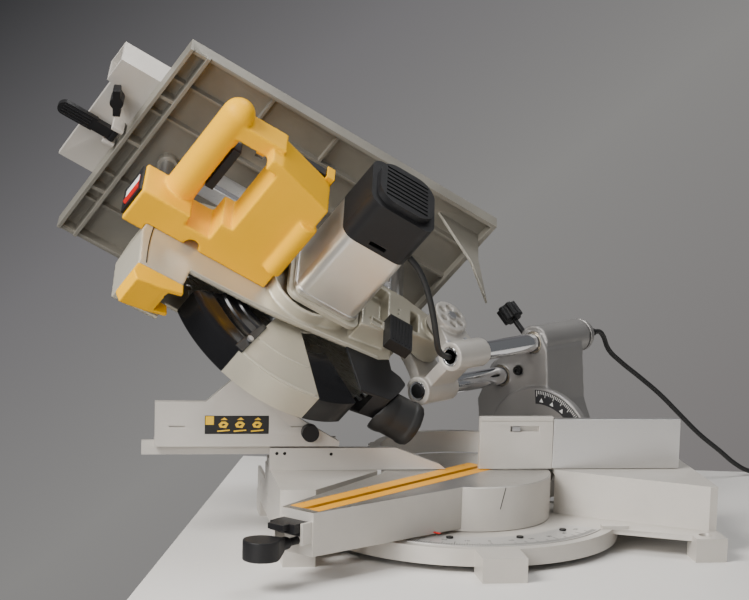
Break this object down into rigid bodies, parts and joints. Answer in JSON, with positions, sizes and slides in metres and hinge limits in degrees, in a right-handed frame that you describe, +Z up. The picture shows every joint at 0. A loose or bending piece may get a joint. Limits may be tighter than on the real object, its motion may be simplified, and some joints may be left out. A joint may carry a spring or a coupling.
{
  "type": "sliding mitre saw with upper table",
  "caption": "Sliding compound mitre saw with a small saw table on top of its tilting head, swung and tilted to the left, with a mains lead.",
  "frame": {"origin": "middle of the rectangle of bench bolts, on the bench", "axes": "+X to the user's right, +Y to the back, +Z up"},
  "size_m": [1.1637, 0.8279, 0.6312],
  "materials": {
    "cast_light": "satin die-cast, light warm grey",
    "cast_grey": "satin grey casting",
    "guard_cream": "satin cream-silver casting",
    "machined": "machined bright face",
    "motor_aluminium": "brushed aluminium",
    "chrome_rail": "polished chrome tube",
    "steel": "turned steel",
    "blade_steel": "ground steel plate",
    "bronze": "sintered bronze",
    "windings": "copper windings on a laminated core",
    "yellow": "satin yellow moulding",
    "amber": "translucent amber plastic",
    "black": "textured black plastic",
    "rubber": "soft black rubber",
    "dark_screw": "blackened steel",
    "scale": "plate with black ticks",
    "scale_dark": "dark plate with light ticks",
    "red": "red moulding",
    "label": "plain black and yellow decal, no text"
  },
  "bodies": {
    "base": {"base_casting": "cast_light", "mitre_scale": "scale", "base_screws": "dark_screw", "fence_casting": "cast_light", "right_fence": "machined", "right_fence_end": "machined", "cord": "rubber", "cord_coil": "rubber", "plug": "black"},
    "fence_stop": {"fence_stop": "steel"},
    "sliding_fence": {"sliding_fence": "cast_light", "fence_label": "label"},
    "fence_knob": {"fence_knob": "black"},
    "turntable": {"turntable": "cast_light", "kerf_plates": "amber", "kerf_screws": "steel", "mitre_pointer": "red", "bevel_bolt": "steel"},
    "mitre_latch": {"mitre_latch": "black"},
    "mitre_knob": {"mitre_knob": "black"},
    "bevel_lever": {"bevel_lever": "black"},
    "yoke": {"yoke": "cast_grey", "bevel_scale": "scale_dark", "yoke_screw": "dark_screw", "rail_bushes": "bronze"},
    "rail_knob": {"rail_knob": "black"},
    "carriage": {"carriage": "cast_light", "rails": "chrome_rail", "rail_caps": "cast_grey", "cord_relief": "rubber", "pivot_shaft": "steel"},
    "head": {"head_casting": "guard_cream", "nose_insert": "yellow", "gear_cover": "guard_cream", "motor_housing": "motor_aluminium", "motor_cap": "black", "stator": "windings", "bearings": "steel", "handle": "yellow", "rocker_frame": "black", "push_stick": "black", "chip_chute": "black", "dust_spout": "rubber", "spring_box": "black", "chop_spring": "steel", "motor_lead": "rubber"},
    "rotor": {"rotor": "windings"},
    "blade": {"arbor": "steel", "blade": "blade_steel", "blade_flanges": "steel"},
    "guard": {"lower_guard": "guard_cream", "guard_ends": "black"},
    "trigger": {"trigger": "black"},
    "rocker": {"rocker": "red"},
    "table": {"upper_table": "cast_light", "throat_plate": "machined", "table_posts": "steel"},
    "rip_fence": {"rip_fence": "cast_light"},
    "fence_lever": {"fence_lever": "black"},
    "fence_lock": {"fence_lock": "black"}
  },
  "joints": [
    {"name": "mitre_swing", "type": "hinge", "parent": "base", "child": "turntable", "pos_m": [-0.025, 0.002, 0.06], "axis": [0, 0, 1], "range_deg": [-2.5, 57]},
    {"name": "mitre_latch_press", "type": "hinge", "parent": "turntable", "child": "mitre_latch", "pos_m": [-0.27936, -0.23108, 0.064], "axis": [0.6756, -0.7373, 0], "range_deg": [0, 8], "stiffness_Nm_per_rad": 0.6, "springref_deg": -8.59},
    {"name": "mitre_knob_turn", "type": "hinge", "parent": "turntable", "child": "mitre_knob", "pos_m": [-0.27567, -0.2277, 0.05], "axis": [0.7373, 0.6756, 0], "range_deg": [-90, 90]},
    {"name": "bevel_tilt", "type": "hinge", "parent": "turntable", "child": "yoke", "pos_m": [-0.025, 0.002, 0.0866], "axis": [0.7373, 0.6756, 0], "range_deg": [-2.6, 45.4]},
    {"name": "bevel_lever_turn", "type": "hinge", "parent": "turntable", "child": "bevel_lever", "pos_m": [0.14605, 0.15874, 0.0866], "axis": [0.7373, 0.6756, 0], "range_deg": [-20, 20]},
    {"name": "head_slide", "type": "slide", "parent": "yoke", "child": "carriage", "axis": [0.7373, 0.6756, 0], "range_m": [0, 0.115], "deforming": ["cord"]},
    {"name": "rail_knob_turn", "type": "hinge", "parent": "yoke", "child": "rail_knob", "pos_m": [0.09375, 0.21581, 0.23597], "axis": [-0.481, 0.525, 0.7022], "range_deg": [-90, 90]},
    {"name": "chop", "type": "hinge", "parent": "carriage", "child": "head", "pos_m": [-0.05994, 0.08898, 0.24615], "axis": [-0.4744, 0.5177, -0.712], "range_deg": [-39.9, 0], "deforming": ["dust_spout", "motor_lead"]},
    {"name": "guard_retract", "type": "hinge", "parent": "head", "child": "guard", "pos_m": [-0.25971, 0.05753, 0.28334], "axis": [0.4744, -0.5177, 0.712], "range_deg": [-70, 0]},
    {"name": "blade_spin", "type": "hinge", "parent": "head", "child": "blade", "pos_m": [-0.25971, 0.05753, 0.28334], "axis": [0.4744, -0.5177, 0.712], "continuous": true},
    {"name": "rotor_spin", "type": "hinge", "parent": "head", "child": "rotor", "pos_m": [-0.18476, 0.01486, 0.35687], "axis": [0.4744, -0.5177, 0.712], "continuous": true},
    {"name": "trigger_press", "type": "slide", "parent": "head", "child": "trigger", "axis": [-0.8675, -0.1375, 0.478], "range_m": [0, 0.006], "stiffness_N_per_m": 400, "springref_m": -0.004},
    {"name": "rocker_press", "type": "hinge", "parent": "head", "child": "rocker", "pos_m": [-0.45347, 0.00186, 0.44077], "axis": [0.4744, -0.5177, 0.712], "range_deg": [0, 14]},
    {"name": "table_height", "type": "slide", "parent": "head", "child": "table", "axis": [-0.1495, -0.8444, -0.5144], "range_m": [0, 0.055]},
    {"name": "rip_fence_slide", "type": "slide", "parent": "table", "child": "rip_fence", "axis": [0.4744, -0.5177, 0.712], "range_m": [-0.05, 0.08]},
    {"name": "fence_lever_turn", "type": "hinge", "parent": "rip_fence", "child": "fence_lever", "pos_m": [-0.47921, 0.15755, 0.5037], "axis": [0.4744, -0.5177, 0.712], "range_deg": [0, 70]},
    {"name": "fence_lock_turn", "type": "hinge", "parent": "rip_fence", "child": "fence_lock", "pos_m": [-0.47534, 0.12428, 0.55137], "axis": [0.1495, 0.8444, 0.5144], "range_deg": [-90, 90]},
    {"name": "fence_stop_slide", "type": "slide", "parent": "base", "child": "fence_stop", "axis": [1, 0, 0], "range_m": [-0.0015, 0.024]},
    {"name": "left_fence_slide", "type": "slide", "parent": "base", "child": "sliding_fence", "axis": [1, 0, 0], "range_m": [-0.045, 0.04]},
    {"name": "fence_knob_turn", "type": "hinge", "parent": "sliding_fence", "child": "fence_knob", "pos_m": [-0.231, 0, 0.137], "axis": [0, 1, 0], "range_deg": [-90, 90]}
  ],
  "couplings": [
    {"joint": "guard_retract", "follows": "chop", "ratio": 1.75},
    {"joint": "rotor_spin", "follows": "blade_spin", "ratio": -3}
  ]
}
